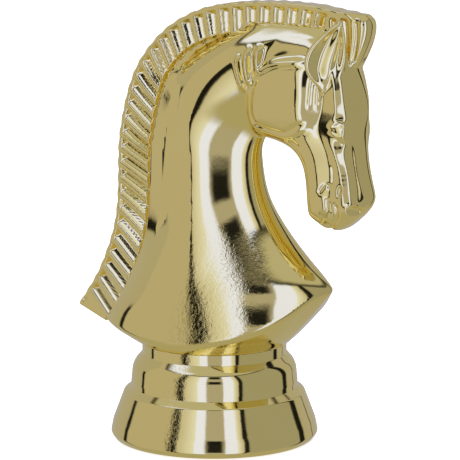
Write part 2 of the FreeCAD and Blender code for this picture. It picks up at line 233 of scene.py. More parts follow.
# How the side of the face turns towards the front: height, then stations (x, degrees).  Worked
# out by a program that isn't part of this file, from slopes read by eye, then edited by hand.
FACE = [
    (42, (22.9, -2), (23.7, 2), (23.9, 6), (25.4, 6), (25.8, 2), (26.5, 2), (28.0, 2), (28.6, 20),
     (29.2, 33), (29.6, 36), (30.2, 38), (30.6, 38), (31.2, 40)),
    (47, (23.9, -4), (25.2, 2), (25.45, 10), (26.9, 10), (27.15, 2), (28.4, 0), (29.7, 2),
     (30.2, 24), (31.0, 34), (31.3, 46), (32.0, 48), (32.3, 44), (32.7, 48)),
    (50.5, (23.4, -4), (25.1, 2), (25.35, 11), (27.2, 11), (27.45, 1), (28.3, 0), (29.7, 2),
     (30.2, 33), (31.0, 34), (31.25, 55), (31.9, 53), (32.2, 42), (32.7, 46)),
    (54.5, (22.6, -3), (24.6, 2), (24.85, 11), (27.1, 12), (27.35, 1), (28.0, 0), (29.0, 1),
     (29.5, 33), (30.3, 34), (30.55, 55), (31.2, 53), (31.5, 42), (31.9, 46)),
    (57.5, (21.5, -3), (23.9, 2), (24.15, 11), (26.6, 12), (26.85, 1), (27.4, 0), (28.2, 1),
     (28.7, 33), (29.7, 34), (30.1, 53), (30.8, 52), (31.1, 43), (31.5, 47)),
    (61.2, (20.5, 0), (22.0, 2), (22.25, 13), (24.6, 23), (25.2, 12), (25.5, 3), (27.0, 2), (28.5, 11),
     (30.0, 14), (30.35, 50), (30.7, 54), (30.95, 54), (31.2, 55)),
    (64.0, (20.4, 0), (21.4, 2), (21.65, 12), (23.3, 33), (25.2, 33), (25.6, 3), (28.2, 2), (28.7, 32),
     (29.8, 33), (30.3, 52), (30.8, 54), (31.1, 54), (31.4, 55)),
    (66.5, (20.6, 0), (21.6, 2), (21.85, 11), (23.5, 33), (25.8, 33), (26.2, 1), (28.4, 0), (28.8, 33),
     (29.7, 34), (30.1, 53), (30.9, 54), (31.2, 54), (31.5, 55)),
    (70, (20.6, 0), (21.6, 2), (21.85, 11), (23.5, 33), (25.6, 33), (26.0, 1), (28.1, 0), (28.5, 33),
     (29.2, 34), (29.6, 52), (30.0, 54), (30.3, 54), (30.6, 55)),
    (74, (19.9, 0), (21.0, 2), (21.25, 10), (23.1, 22), (25.1, 22), (25.6, 2), (27.4, 2), (27.8, 22),
     (28.4, 33), (28.7, 44), (29.1, 48), (29.35, 50), (29.6, 52)),
    (79, (19.9, 0), (21.0, 2), (21.25, 8), (23.1, 14), (25.1, 14), (25.6, 2), (27.4, 2), (27.8, 16),
     (28.4, 18), (28.7, 24), (29.1, 33), (29.35, 30), (29.6, 32)),
]

CREST = [(-29.6, 23.4), (-27.5, 26.4), (-25.2, 30), (-23.1, 34.5), (-21.5, 39), (-20.6, 44),
         (-20.3, 50), (-20.1, 56), (-19.3, 61), (-18.0, 66), (-15.9, 71), (-13, 75),
         (-9.3, 78.5), (-4.5, 81.3), (0, 82.9), (5, 83.8), (10, 84.2), (16, 84.25), (22, 83.8),
         (28, 82.9), (33.3, 82.2)]
FORELOCK = [(20, 83.4), (26, 82.9), (31.2, 82.5), (33.0, 81.9), (33.6, 80.6), (33.3, 78.0),
            (32.2, 75.2), (30.6, 72.4), (28.9, 71.2), (27.0, 70.9), (25.0, 72.4), (22.8, 75.2),
            (19.5, 78.3)]
PLATE_WIDTH, PLATE_NARROWING = 6.9, 1.2    # of the mane plate; it narrows towards the top
PLATE_HALF = 2.5                    # its half thickness
FORELOCK_EDGE = 1.5                 # more rounding in front of the forehead
PLATE_EDGE = 0.4                    # rounding of its rims
BAR_PITCH = 3.0
BAR_HALF_WIDTH = 0.98
BAR_DEPTH = 1.15
BAR_START, BARS_END = 0.9, 9.5      # along the crest: first bar, length without bars at the end
SCALLOP = 0.10                      # wave that the bars give the plate's edge
FORELOCK_DEPTH = 0.55
FORELOCK_GROOVES = [([(26.6, 82.0), (26.9, 78.5), (27.2, 73.0)], 0.45),
                    ([(28.8, 82.0), (29.2, 78.5), (29.0, 72.6)], 0.5),
                    ([(31.0, 81.6), (31.2, 78), (30.2, 73.4)], 0.42)]

CHEEK = [(27, 75.2), (22.8, 74.9), (17.5, 74.3), (14.0, 73.0), (11.3, 70.8), (10.1, 67.8),
         (9.8, 65.0), (10.3, 62.2), (12.3, 60.1), (16.0, 59.0), (19.0, 58.8), (22, 60.2),
         (25, 62.0), (27.6, 64.8), (28.6, 69.5)]
TUFTS = [([(9.1, 75.4), (9.7, 71.5), (10.7, 66.6)], 0.50),
         ([(11.2, 76.8), (11.2, 72.8), (11.7, 67.8)], 0.62),
         ([(13.4, 77.0), (13.3, 74.0), (13.5, 70.4)], 0.66)]
TUFT_HEIGHT = 0.62
EYE = (29.15, 61.6)

EAR_ROOT = np.array([26.0, 5.3, 69.4])
EAR_TIP = np.array([29.4, 4.9, 81.6])
EAR_FACE = np.array([0.62, 0.78, 0.0])     # the way its hollow side looks (mirrored in ay)
EAR_LENGTH = float(np.linalg.norm(EAR_TIP - EAR_ROOT))
EAR_WIDE = Profile([(-0.15, 0.1), (-0.04, 0.5), (0.05, 1.7), (0.15, 2.9), (0.35, 3.7), (0.52, 3.4),
                    (0.7, 2.4), (0.85, 1.4), (0.95, 0.65), (1.05, 0.1)])
EAR_FORWARD, EAR_BACKWARD = 0.78, 1.28     # share of that width on its front and rear side
EAR_FRONT, EAR_REAR = 0.75, 1.15    # thickness ahead of and behind its middle
EAR_HOLLOWS = [(0.40, 0.30, 0.85), (-0.38, 0.24, 0.68)]     # place and width in shares, depth

PINS = [(-6.0, 33.0), (0.0, 54.0), (17.0, 70.0)]
PIN_HOLE, PIN_DEPTH, PIN_BOSS = 1.27, 4.2, 3.0
FLOOR_TOP = 20.4                    # inside of the bust's floor
WELL_RADIUS, WELL_TOP = 12.45, 23.2       # room for the plug's flange
SPIGOT_HOLE, SPIGOT_TOP = 10.05, 21.0
# How far the cavity stays inside the neck, the head, the underside and the hidden mane root.
NECK_WALL, HEAD_WALL, UNDER_WALL, MANE_WALL = 2.2, 2.3, 1.9, 2.6

# Lines that stand out from the side of the head (height below 0: sunk in): points, width, height.
FACE_LINES = [
    # slits of the temple
    ([(24.2, 72.5), (23.9, 67.0), (23.6, 64.8)], 0.30, -0.15),
    ([(25.3, 72.5), (25.1, 67.1), (24.9, 64.8)], 0.30, -0.15),
    # eyelids
    ([(27.0, 61.6), (28.0, 62.5), (29.2, 62.85), (30.1, 62.3), (30.5, 61.2)], 0.40, 0.26),
    ([(27.3, 61.7), (28.1, 60.8), (29.3, 60.45), (30.3, 60.9)], 0.38, 0.22),
    # folds between cheek and mouth
    ([(27.8, 55.3), (27.9, 53.9), (28.0, 52.6), (27.8, 51.2)], 0.28, -0.18),
    ([(25.0, 49.4), (25.9, 50.8), (26.7, 51.4), (27.3, 50.8), (27.2, 50.0)], 0.34, -0.18),
    ([(25.9, 49.6), (26.1, 47.6), (25.9, 45.8)], 0.55, 0.14),
    # mouth, then folds of the lips
    ([(26.0, 42.3), (26.9, 43.2), (27.9, 44.4), (28.6, 45.8), (28.5, 47.5), (28.3, 48.6)],
     0.30, -0.42),
    ([(27.0, 49.2), (26.8, 48.0), (26.9, 46.2)], 0.25, -0.16),
    ([(27.6, 48.6), (27.6, 47.2), (27.7, 45.9)], 0.22, -0.12),
]
# Oval bumps and hollows there: centre, radii, height, tilt in degrees, steepness of the edge.
FACE_OVALS = [
    (EYE, (2.1, 1.35), -0.14, 0, 3),               # socket
    (EYE, (1.15, 0.75), 0.32, -6, 3),              # eyeball
    ((29.3, 58.9), (0.9, 0.7), -0.22, -25, 2),     # below the eye
    ((29.3, 50.3), (0.40, 0.95), -0.50, -12, 4),   # pit
    ((20.4, 58.6), (1.4, 0.6), -0.35, -35, 2),     # jaw notch
    ((31.6, 46.6), (1.5, 1.45), 0.50, 20, 4),      # nostril: wing, hollow and dimple
    ((31.65, 46.6), (0.85, 0.85), -1.45, 20, 4),
    ((30.2, 44.7), (0.5, 0.35), -0.22, 35, 2),
]


def neck_field(x, ay, z):
    """Flared neck: slices with their own fullness to the front, the back and the sides."""
    back, front, wide, mid = NECK_BACK(z), NECK_FRONT(z), NECK_WIDE(z), NECK_MID(z)
    off = x - mid
    forward = step(off, -NECK_BLEND, NECK_BLEND)
    reach = (mid - back) * (1 - forward) + (front - mid) * forward
    along = NECK_AFT(z) * (1 - forward) + NECK_FORE(z) * forward
    e = (np.abs(off) / reach) ** along + (ay / wide) ** NECK_SIDE(z)
    return (e ** (1 / NECK_POWER) - 1) * wide


def under_field(x, ay, z):
    """Negative above the underside of the bust, which rises from the collar to the rim."""
    turn = np.degrees(np.arctan2(ay, x))
    radius = np.hypot(x, ay)
    rim = RIM_RADIUS(turn)
    share = np.clip((radius - COLLAR_RADIUS) / (rim - COLLAR_RADIUS), 0, 2)
    height = SEAT + (RIM_HEIGHT(turn) - SEAT) * share ** UNDER_CURVE
    return (height - z) * UNDER_SLOPE


def ear_field(x, ay, z):
    """Pricked ear: a pointed slab, hollowed on its face and rounded behind."""
    axis = (EAR_TIP - EAR_ROOT) / EAR_LENGTH
    face = EAR_FACE - axis * (EAR_FACE @ axis)
    face /= np.linalg.norm(face)
    side = np.cross(axis, face)
    dx, dy, dz = x - EAR_ROOT[0], ay - EAR_ROOT[1], z - EAR_ROOT[2]
    t = (dx * axis[0] + dy * axis[1] + dz * axis[2]) / EAR_LENGTH
    n = dx * face[0] + dy * face[1] + dz * face[2]
    u = dx * side[0] + dy * side[1] + dz * side[2]
    wide = EAR_WIDE(t) * (EAR_FORWARD + (EAR_BACKWARD - EAR_FORWARD) * step(u, -0.8, 0.8))
    share = u / wide
    hollow = sum(deep * bell(share - place, width) for place, width, deep in EAR_HOLLOWS)
    front = EAR_FRONT - hollow * step(t, 0.0, 0.25) * step(-t, -0.99, -0.7)
    rear = EAR_REAR * np.sqrt(np.clip(1 - share ** 2, 0, 1)) * (1 - 0.5 * t) + 0.15
    slab = trim(n - front, -n - rear, 0.5)
    edge = (np.abs(share) - 1) * np.clip(wide, 0.3, 3)
    body = trim(slab, edge, 0.55)
    return trim(body, np.maximum(t - 1.0, -0.2 - t) * EAR_LENGTH, 0.4)


def mane_coordinates(x, z):
    """Distance in from the crest, and length along it from its lower tip."""
    curve = spline(CREST, samples=260)
    distance, share = path_distance(x, z, curve)
    length = np.linalg.norm(np.diff(curve, axis=0), axis=1).sum()
    i = np.clip((share * (len(curve) - 1)).astype(int), 0, len(curve) - 2)
    tangent = curve[i + 1] - curve[i]
    outward = tangent[..., 0] * (z - curve[i][..., 1]) - tangent[..., 1] * (x - curve[i][..., 0])
    return np.where(outward > 0, -distance, distance), share * length, length


def bar_grooves(inward, along, length, width):
    """Depth of the scoops between the mane's slanted bars, and the wave of the plate's edge."""
    share = along / length
    slant = 0.30 + 0.25 * step(share, 0.0, 0.25) - 0.50 * step(share, 0.40, 0.75)
    phase = (along + slant * inward - BAR_START) / BAR_PITCH
    rank = np.floor(phase)
    off_bar = (phase - rank - 0.5) * BAR_PITCH / np.sqrt(1 + slant ** 2)
    there = (rank >= 0.5) & (rank <= math.floor((length - BARS_END) / BAR_PITCH))
    side = off_bar / BAR_HALF_WIDTH
    slope = np.minimum((side + 1) / 1.50, (1 - side) / 0.50)     # gentle wall, steep wall
    ends = np.minimum((inward - 0.85) / 0.75, (width + 0.15 - inward) / 0.5 + 0.45)
    scoop = np.clip(-trim(-slope, -ends, 0.25), 0, 1)
    deep = (scoop - 0.12 * step(scoop, 0, 0.5) + 0.05) * step(scoop, 0, 0.12)
    return BAR_DEPTH * deep * there, SCALLOP * np.cos(2 * math.pi * phase)


def mane_maps(x, z):
    """The mane plate: depth inside, half thickness, hidden root; the neck's flank beside it."""
    inward, along, length = mane_coordinates(x, z)
    share = along / length
    width = PLATE_WIDTH - PLATE_NARROWING * step(share, 0.35, 0.62)
    groove, scallop = bar_grooves(inward, along, length, width)
    low_end = (x + 30.0) * 0.41 + (z - 23.3) * 0.912          # slanted cut at the tip
    band = np.minimum(np.minimum(inward + scallop * 0.8, width - inward + scallop * 1.2),
                      np.minimum(low_end, 32.4 - x))
    block = inside_distance(x, z, FORELOCK)
    strands = sum(line_bump(x, z, points, wide, FORELOCK_DEPTH, taper=0.12)
                  for points, wide in FORELOCK_GROOVES)
    dimple = oval_bump(x, z, (-28.2, 24.3), (0.35, 0.35), 0.35)
    root = np.minimum(np.minimum(inward - 1.2, 13 - inward), np.minimum(low_end - 0.6, 29 - x))
    away = inward - width
    flank = 4.2 + 0.43 * np.minimum(away, 5.5) - np.maximum(away - 5.5, 0) * 0.3
    flank -= 9 * step(share, 0.50, 0.70)
    gap = 1.9 - away - 4 * step(share, 0.56, 0.72)
    depth = -join(-band, -block, 0.5)
    return depth, PLATE_HALF - groove - strands * (block > -0.5) - dimple, root, flank, gap


def tuft_relief(x, z):
    """Tufts of hair above the cheek."""
    return sum(line_bump(x, z, points, width, TUFT_HEIGHT, taper=0.3) for points, width in TUFTS)


def face_relief(x, z):
    """Everything that stands out from, or is sunk into, the sides of the head."""
    depth = inside_distance(x, z, CHEEK)
    behind = 1 - step(x, 20.0, 24.5)
    relief = -0.65 * (1 - step(depth, -0.6, 0.9)) * behind * step(z, 59.0, 61.5)
    relief += behind * (0.25 * bell(depth - 1.0, 0.5) - 0.22 * bell(depth - 1.9, 0.4))
    for points, width, height in FACE_LINES:
        relief = relief + line_bump(x, z, points, width, height)
    for centre, radii, height, tilt, power in FACE_OVALS:
        relief = relief + oval_bump(x, z, centre, radii, height, tilt=tilt, power=power)
    return relief


def face_turn(x, z):
    """How far the side of the face has drawn in by x, from its slopes at the stations."""
    heights = [row[0] for row in FACE]
    stations = range(1, len(FACE[0]))
    height = z[0]
    places = np.array([Profile([(h, row[i][0]) for h, row in zip(heights, FACE)])(height)
                       for i in stations])
    slopes = np.tan(np.radians([Profile([(h, row[i][1]) for h, row in zip(heights, FACE)])(height)
                                for i in stations]))
    drop = np.empty_like(x)
    for j in range(len(height)):
        at = np.append(places[:, j], places[-1, j] + 1.2)
        slope = np.append(slopes[:, j], 0.3 * slopes[-1, j])
        drop[:, j] = np.cumsum(np.interp(x[:, j], at, slope, left=0.0, right=0.0)) * MAP_STEP
    return drop


def head_maps(x, z):
    """Depth inside the head's outline, its rounding reach and half width."""
    depth = inside_distance(x, z, HEAD_OUTLINE)
    ahead = step(x - 0.12 * (z - 50), 24.5, 29.0)
    reach = HEAD_REACH(z) * (1 - ahead) + FRONT_REACH * ahead
    wide = HEAD_WIDE(z) - face_turn(x, z) + face_relief(x, z) * step(depth, -0.6, 0.9)
    return depth, reach, np.maximum(wide, HEAD_LEAST)


def flat_maps():
    """All fields that depend on x and z only, on one fine grid."""
    size = np.ceil((MAP_HIGH - MAP_LOW) / MAP_STEP).astype(int) + 1
    x = MAP_LOW[0] + MAP_STEP * np.arange(size[0])
    z = MAP_LOW[1] + MAP_STEP * np.arange(size[1])
    gx, gz = np.meshgrid(x, z, indexing="ij")
    depth, reach, wide = head_maps(gx, gz)
    plate_depth, plate_half, root, flank, gap = mane_maps(gx, gz)
    return np.stack([depth, reach, wide, plate_depth, plate_half, root, flank, gap,
                     tuft_relief(gx, gz)], axis=-1)


MAPS = flat_maps()


def sample_maps(x, z):
    """Reads the maps by cubic B-spline, smooth enough for mirror reflections."""
    shape = np.broadcast(x, z).shape
    px = np.clip(np.broadcast_to((x - MAP_LOW[0]) / MAP_STEP, shape), 1, MAPS.shape[0] - 3)
    pz = np.clip(np.broadcast_to((z - MAP_LOW[1]) / MAP_STEP, shape), 1, MAPS.shape[1] - 3)
    ix, iz = px.astype(int), pz.astype(int)
    wx, wz = cubic_weights(px - ix), cubic_weights(pz - iz)
    total = np.zeros(shape + (MAPS.shape[2],))
    for i in range(4):
        for k in range(4):
            total += MAPS[ix + i - 1, iz + k - 1] * (wx[i] * wz[k])[..., None]
    return np.moveaxis(total, -1, 0)


def cubic_weights(t):
    """Shares of the four samples around t in a cubic B-spline."""
    return ((1 - t) ** 3 / 6, (3 * t ** 3 - 6 * t ** 2 + 4) / 6,
            (-3 * t ** 3 + 3 * t ** 2 + 3 * t + 1) / 6, t ** 3 / 6)


def rounded_plate(depth, ay, half, edge):
    """Distance to a flat plate whose rims are rounded."""
    a, b = edge - depth, ay - (half - edge)
    return np.hypot(np.maximum(a, 0), np.maximum(b, 0)) + np.minimum(np.maximum(a, b), 0) - edge


def head_rounding(depth, reach, ay, wide):
    """0 on the surface of the head, negative inside."""
    e = np.clip(1 - depth / reach, 0, None) ** HEAD_POWER + (ay / wide) ** HEAD_POWER
    return e ** (1 / HEAD_POWER) - 1


def bust_field(x, ay, z, maps, neck):
    """Outside of the whole bust, negative inside."""
    depth, reach, wide, plate_depth, plate_half, root, flank, gap, relief = maps
    beside = trim((ay - flank) * 0.9, -root - 1.5, 0.5)
    neck = trim(join(neck, beside, 1.2), gap, 0.4) - relief * step(ay, 1, 4)
    head = head_rounding(depth, reach, ay, wide) * np.minimum(wide, reach * 1.3)
    neck = join(neck, rounded_plate(root, ay, 1.1, 0.3), 0.5)
    neck = trim(trim(neck, under_field(x, ay, z), 0.7), z - NECK_TOP, 1.0)
    whole = join(neck, head, 1.1)
    edge = PLATE_EDGE + FORELOCK_EDGE * step(x, 28.5, 31.5)
    plate = rounded_plate(plate_depth, ay, plate_half, edge)
    return join(join(whole, plate, 0.25), ear_field(x, ay, z), 0.5)


def cavity_field(x, ay, z, maps, neck):
    """Negative inside the hollow of the bust and its holes."""
    depth, reach, wide, _, _, _, _, gap, _ = maps
    head = head_rounding(depth, reach, ay, wide) * wide
    space = join(np.maximum(neck + NECK_WALL, gap + MANE_WALL),
                 np.maximum(head, 2 - depth) + HEAD_WALL, 1.0)
    space = trim(space, under_field(x, ay, z) + UNDER_WALL, 0.5)
    above_floor = FLOOR_TOP - z
    radius = np.hypot(x, ay)
    well = np.maximum(np.maximum(radius - WELL_RADIUS, above_floor), z - WELL_TOP)
    space = np.minimum(np.maximum(space, above_floor), well)
    for px, pz in PINS:
        away = np.hypot(x - px, z - pz)
        space = np.maximum(space, PIN_BOSS - away)
        space = np.minimum(space, np.maximum(away - PIN_HOLE, ay - PIN_DEPTH))
    return np.minimum(space, np.maximum(radius - SPIGOT_HOLE, z - SPIGOT_TOP))


def shell_field(x, y, z):
    """The hollow bust: its outside without the cavity."""
    ay = np.abs(y)
    maps, neck = sample_maps(x, z), neck_field(x, ay, z)
    return np.maximum(bust_field(x, ay, z, maps, neck), -cavity_field(x, ay, z, maps, neck))


def outer_field(x, y, z):
    """The bust as if it were solid."""
    ay = np.abs(y)
    return bust_field(x, ay, z, sample_maps(x, z), neck_field(x, ay, z))


# ------------------------------------------------------------------ from field to mesh


def surface_net(value, low, cell):
    """One vertex in each cell the surface crosses, one quad across each crossed edge."""
    inside = value < 0
    shape = tuple(n - 1 for n in value.shape)
    total, count = np.zeros(shape + (3,)), np.zeros(shape)
    for axis in range(3):
        for a in (0, 1):
            for b in (0, 1):
                start = [0, 0, 0]
                others = [n for n in range(3) if n != axis]
                start[others[0]], start[others[1]] = a, b
                end = list(start)
                end[axis] = 1
                v0 = value[tuple(slice(s, s + n) for s, n in zip(start, shape))]
                v1 = value[tuple(slice(s, s + n) for s, n in zip(end, shape))]
                crossed = (v0 < 0) != (v1 < 0)
                share = np.where(crossed, v0 / np.where(crossed, v0 - v1, 1), 0)
                for n in range(3):
                    where = share if n == axis else start[n]
                    total[..., n] += np.where(crossed, where, 0)
                count += crossed
    used = count > 0
    number = np.full(shape, -1)
    number[used] = np.arange(used.sum())
    index = np.argwhere(used)
    vertices = low + cell * (index + total[used] / count[used][:, None])
    quads = []
    for axis in range(3):
        others = [n for n in range(3) if n != axis]
        first = [slice(1, -1)] * 3
        first[axis] = slice(0, -1)
        second = list(first)
        second[axis] = slice(1, None)
        a, b = inside[tuple(first)], inside[tuple(second)]
        where = np.argwhere(a != b)
        flip = a[tuple(where.T)]
        for n in others:
            where[:, n] += 1
        corners = []
        for da, db in ((1, 1), (0, 1), (0, 0), (1, 0)):
            cell_at = where.copy()
            cell_at[:, others[0]] -= da
            cell_at[:, others[1]] -= db
            corners.append(number[tuple(cell_at.T)])
        quad = np.stack(corners, axis=1)
        if axis == 1:
            flip = ~flip
        quad[~flip] = quad[~flip][:, ::-1]
        quads.append(quad)
    return vertices, np.concatenate(quads)


def gradient(field, points, reach):
    """Slope of the field at the points, measured over the reach to each side."""
    result = np.zeros_like(points)
    for n in range(3):
        offset = np.zeros(3)
        offset[n] = reach
        ahead, back = points + offset, points - offset
        result[:, n] = (field(*ahead.T) - field(*back.T)) / (2 * reach)
    return result


def settle(field, points, rounds, longest):
    """Moves points onto the surface along the field's slope."""
    for _ in range(rounds):
        slope = gradient(field, points, 0.02)
        value = field(*points.T)
        move = slope * (value / np.maximum((slope ** 2).sum(axis=1), 0.05))[:, None]
        length = np.linalg.norm(move, axis=1)
        points = points - move * np.minimum(1, longest / np.maximum(length, 1e-9))[:, None]
    return points


def detailed(points):
    """Where the sculpt needs its fine mesh: the mane, the head, the ears and the tufts."""
    x, y, z = points.T
    head, plate = sample_maps(x, z)[[0, 3]]
    mane = (plate > -0.6) & (np.abs(y) > 1.2)
    face = (head > -0.5) & (x > 12) & (np.abs(outer_field(x, y, z)) < 0.3)
    plain_cheek = (z > 62) & (z < 72) & (x < 22)
    poll = (z > 69) & (x > 8) & (y < -2)
    return mane | (face & ~plain_cheek) | poll


def shell_net():
    """Settled surface net of the right half (y < 0) and a little beyond: bmesh and points."""
    low = np.array([-31.6, -17.6, 18.2]) - 0.013      # keeps grid points off the flat faces
    high = np.array([35.2, 2 * CELL, 85.4])
    x, y, z = [np.arange(a, b + CELL, CELL) for a, b in zip(low, high)]
    value = shell_field(x[:, None, None], y[None, :, None], z[None, None, :])
    points, quads = surface_net(value, low, CELL)
    points = settle(shell_field, points, 2, 0.4 * CELL)
    mesh = bmesh.new()
    corners = [mesh.verts.new(p) for p in points]
    for quad in quads:
        mesh.faces.new([corners[i] for i in quad])
    return mesh, points


def places_of(mesh):
    mesh.verts.index_update()
    return np.array([v.co for v in mesh.verts])


def refine(mesh, points):
    """Halves the cells where there is detail, and settles the new points."""
    mesh.verts.index_update()
    fine = detailed(points)
    chosen = [edge for edge in mesh.edges if all(fine[v.index] for v in edge.verts)]
    bmesh.ops.subdivide_edges(mesh, edges=chosen, cuts=1, use_grid_fill=True)
    points = places_of(mesh)
    moved = detailed(points)
    points[moved] = settle(shell_field, points[moved], 2, 0.2 * CELL)
    for vert, place in zip(mesh.verts, points):
        vert.co = place


def close_at_middle(mesh):
    """Cuts the mesh at y = 0 and fills the wall's cut face; returns that face's pieces."""
    bmesh.ops.bisect_plane(mesh, geom=mesh.verts[:] + mesh.edges[:] + mesh.faces[:],
                           dist=1e-4, plane_co=(0, 0, 0), plane_no=(0, 1, 0), clear_outer=True)
    rim = [edge for edge in mesh.edges if edge.is_boundary]
    for edge in rim:
        for vert in edge.verts:
            vert.co.y = 0
    cap = bmesh.ops.triangle_fill(mesh, use_beauty=True, edges=rim, normal=(0, 1, 0))
    flat = {face for face in cap["geom"] if isinstance(face, bmesh.types.BMFace)}
    for face in flat:
        face.normal_update()
        if face.normal.y < 0:
            face.normal_flip()
    return flat


def half_shell():
    """Vertices, faces and corner normals of the right half, mm."""
    mesh, points = shell_net()
    refine(mesh, points)
    flat = close_at_middle(mesh)
    bmesh.ops.triangulate(mesh, faces=[f for f in mesh.faces if len(f.verts) > 3])
    points = places_of(mesh)
    faces = np.array([[v.index for v in f.verts] for f in mesh.faces])
    is_cap = np.array([f in flat for f in mesh.faces])
    mesh.free()
    normals = gradient(shell_field, points, 0.04)
    middle = np.abs(points[:, 1]) < 1e-6
    normals[middle, 1] = 0
    normals /= np.maximum(np.linalg.norm(normals, axis=1), 1e-9)[:, None]
    corner = normals[faces]
    corner[is_cap] = (0, 1, 0)
    return points, faces, corner


def add_mesh(name, points, faces, corner_normals, material):
    """A smooth piece on the root body, from points in mm and a normal for each face corner."""
    mesh = bpy.data.meshes.new(name)
    mesh.from_pydata((np.asarray(points) * MM).tolist(), [], [list(map(int, f)) for f in faces])
    mesh.shade_smooth()
    mesh.normals_split_custom_set([tuple(map(float, n)) for n in
                                   np.concatenate([np.atleast_2d(c) for c in corner_normals])])
    mesh.materials.append(material)
    obj = bpy.data.objects.new(name, mesh)
    bpy.context.scene.collection.objects.link(obj)
    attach(obj, "root")
    return obj


# ------------------------------------------------------------------ foot, turned on a lathe


def profile_runs(corners):
    """Straight and round runs of a closed profile: lists of (radius, z, normal r, normal z)."""
    count = len(corners)
    cuts = []
    for i, (r, z, radius) in enumerate(corners):
        here = np.array([r, z], float)
        before = np.array(corners[i - 1][:2], float) - here
        after = np.array(corners[(i + 1) % count][:2], float) - here
        before /= np.linalg.norm(before)
        after /= np.linalg.norm(after)
        if not radius:
            cuts.append((here, here, []))
            continue
        half = math.acos(float(before @ after)) / 2
        reach = radius / math.tan(half)
        centre = here + (before + after) / np.linalg.norm(before + after) * (
            radius / math.sin(half))
        a, b = here + before * reach, here + after * reach
        a0 = math.atan2(*(a - centre)[::-1])
        turn = (math.atan2(*(b - centre)[::-1]) - a0 + math.pi) % (2 * math.pi) - math.pi
        sign = 1 if turn > 0 else -1
        run = []
        for t in np.linspace(0, 1, 11):
            angle = a0 + turn * t
            out = np.array([math.cos(angle), math.sin(angle)])
            run.append((*(centre + radius * out), *(out * sign)))
        cuts.append((a, b, run))
    runs = []
    for i in range(count):
        start, end = cuts[i][1], cuts[(i + 1) % count][0]
        along = (end - start) / np.linalg.norm(end - start)
        normal = (along[1], -along[0])
        runs.append([(*start, *normal), (*end, *normal)])
        if cuts[(i + 1) % count][2]:
            runs.append(cuts[(i + 1) % count][2])
    return runs


def turned(name, corners, material):
    """A piece turned about Z from a profile of (radius, height, rounding) corners."""
    segments = 192
    angles = 2 * math.pi * np.arange(segments) / segments
    points, faces, normals = [], [], []
    for run in profile_runs(corners):
        base = len(points)
        for r, z, _, _ in run:
            points += [(r * math.cos(a), r * math.sin(a), z) for a in angles]
        for i in range(len(run) - 1):
            for k in range(segments):
                m = (k + 1) % segments
                faces.append((base + i * segments + k, base + i * segments + m,
                              base + (i + 1) * segments + m, base + (i + 1) * segments + k))
                for j, s in ((i, k), (i, m), (i + 1, m), (i + 1, k)):
                    _, _, nr, nz = run[j]
                    normals.append((nr * math.cos(angles[s]), nr * math.sin(angles[s]), nz))
    return add_mesh(name, points, faces, normals, material)


# Profile of the foot's cover: up the outside and down the inside.
FOOT = [(19.3, 0, 0), (20.05, 1.0, 0.75), (19.6, 3.3, 6.0), (17.5, 8.9, 0.7), (16.1, 10.0, 0.15),
        (16.1, 11.0, 1.2), (15.75, 14.4, 4.0), (13.95, 16.45, 0.35), (13.95, 18.4, 0),
        (10.05, 18.4, 0), (10.05, 16.6, 0),
        (12.15, 16.6, 0), (14.3, 11.0, 0), (14.3, 9.4, 0), (15.7, 8.1, 0), (17.5, 0, 0)]

# ------------------------------------------------------------------ materials


class Nodes:
    """Small helper that adds and links nodes in one tree."""

    def __init__(self, tree):
        self.tree = tree

    def add(self, kind, **settings):
        node = self.tree.nodes.new(kind)
        for key, value in settings.items():
            setattr(node, key, value)
        return node

    def put(self, node, **values):
        """Sets or links inputs, given by name (spaces as _) or by number as i0, i1."""
        for key, value in values.items():
            socket = node.inputs[int(key[1:])] if key[0] == "i" and key[1:].isdigit() \
                else node.inputs[key.replace("_", " ")]
            self.feed(socket, value)
        return node

    def feed(self, socket, value):
        if isinstance(value, bpy.types.NodeSocket):
            self.tree.links.new(value, socket)
        else:
            socket.default_value = value

    def math(self, operation, *values):
        node = self.add("ShaderNodeMath", operation=operation)
        for socket, value in zip(node.inputs, values):
            self.feed(socket, value)
        return node.outputs[0]

    def ramp(self, fac, stops):
        """Colour ramp through (position, colour) stops in rising order."""
        node = self.add("ShaderNodeValToRGB")
        elements = node.color_ramp.elements
        while len(elements) < len(stops):
            elements.new(0.5)
        for element, (where, _) in zip(elements, stops):
            element.position = where
        for element, (_, colour) in zip(sorted(elements, key=lambda e: e.position), stops):
            element.color = (*colour, 1)
        self.tree.links.new(fac, node.inputs[0])
        return node.outputs[0]

    def noise(self, vector, scale, detail=2.0, roughness=0.5, distortion=0.0):
        node = self.add("ShaderNodeTexNoise")
        self.put(node, Vector=vector, Scale=scale, Detail=detail, Roughness=roughness,
                 Distortion=distortion)
        return node.outputs["Fac"]

    def mix(self, share, first, second):
        node = self.add("ShaderNodeMix", data_type="RGBA")
        for index, value in ((0, share), (6, first), (7, second)):
            self.feed(node.inputs[index], value)
        return node.outputs[2]

    def band(self, value, low, full, fading, gone):
        """0 below low, 1 from full to fading, 0 above gone."""
        return self.math("MULTIPLY", self.smooth(value, low, full),
                         self.smooth(value, gone, fading))

    def smooth(self, value, low, high):
        """0 at low, 1 at high, which may be the smaller of the two."""
        node = self.add("ShaderNodeMapRange", interpolation_type="SMOOTHSTEP")
        self.put(node, Value=value, From_Min=low, From_Max=high)
        return node.outputs[0]


def new_material(name):
    """A material, the helper for its nodes and its Principled shader."""
    material = bpy.data.materials.new(name)
    material.use_nodes = True
    tree = material.node_tree
    return material, Nodes(tree), tree.nodes["Principled BSDF"]


